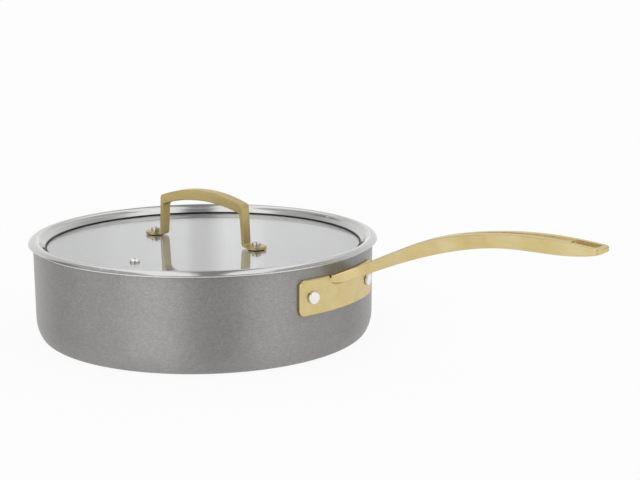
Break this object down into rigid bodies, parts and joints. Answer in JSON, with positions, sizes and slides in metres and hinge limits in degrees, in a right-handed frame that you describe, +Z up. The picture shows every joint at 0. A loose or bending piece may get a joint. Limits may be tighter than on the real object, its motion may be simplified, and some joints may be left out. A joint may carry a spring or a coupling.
{
  "type": "saute pan with lid",
  "caption": "Deep straight-sided saute pan with a riveted curved brass handle and a flat glass lid in a steel ring with an arched brass handle.",
  "frame": {"origin": "centre of the pan's underside, on the surface that it stands on", "axes": "+X along the long handle away from the pan, +Z up"},
  "size_m": [0.4706, 0.272, 0.1112],
  "materials": {
    "anodised_grey": "hard anodised, fine speckle",
    "brushed_steel": "turned satin",
    "base_steel": "turned satin",
    "brass": "satin, brushed lengthwise",
    "rivet_steel": "satin",
    "glass": "clear tempered",
    "seal_rubber": "matte",
    "polished_steel": "polished",
    "screw_steel": "polished"
  },
  "bodies": {
    "pan": {"pan_outer_shell": "anodised_grey", "pan_inner_liner": "brushed_steel", "base_plate": "base_steel", "long_handle": "brass", "handle_rivets": "rivet_steel"},
    "lid": {"lid_glass": "glass", "glass_seal": "seal_rubber", "lid_ring": "polished_steel", "vent_eyelet": "polished_steel", "lid_handle": "brass", "handle_screws": "screw_steel", "foot_washers": "seal_rubber", "glass_sleeves": "seal_rubber", "under_washers": "screw_steel", "screw_nuts": "screw_steel"}
  },
  "joints": [
    {"name": "lid_lift", "type": "slide", "parent": "pan", "child": "lid", "axis": [0, 0, 1], "range_m": [0, 0.15]}
  ]
}
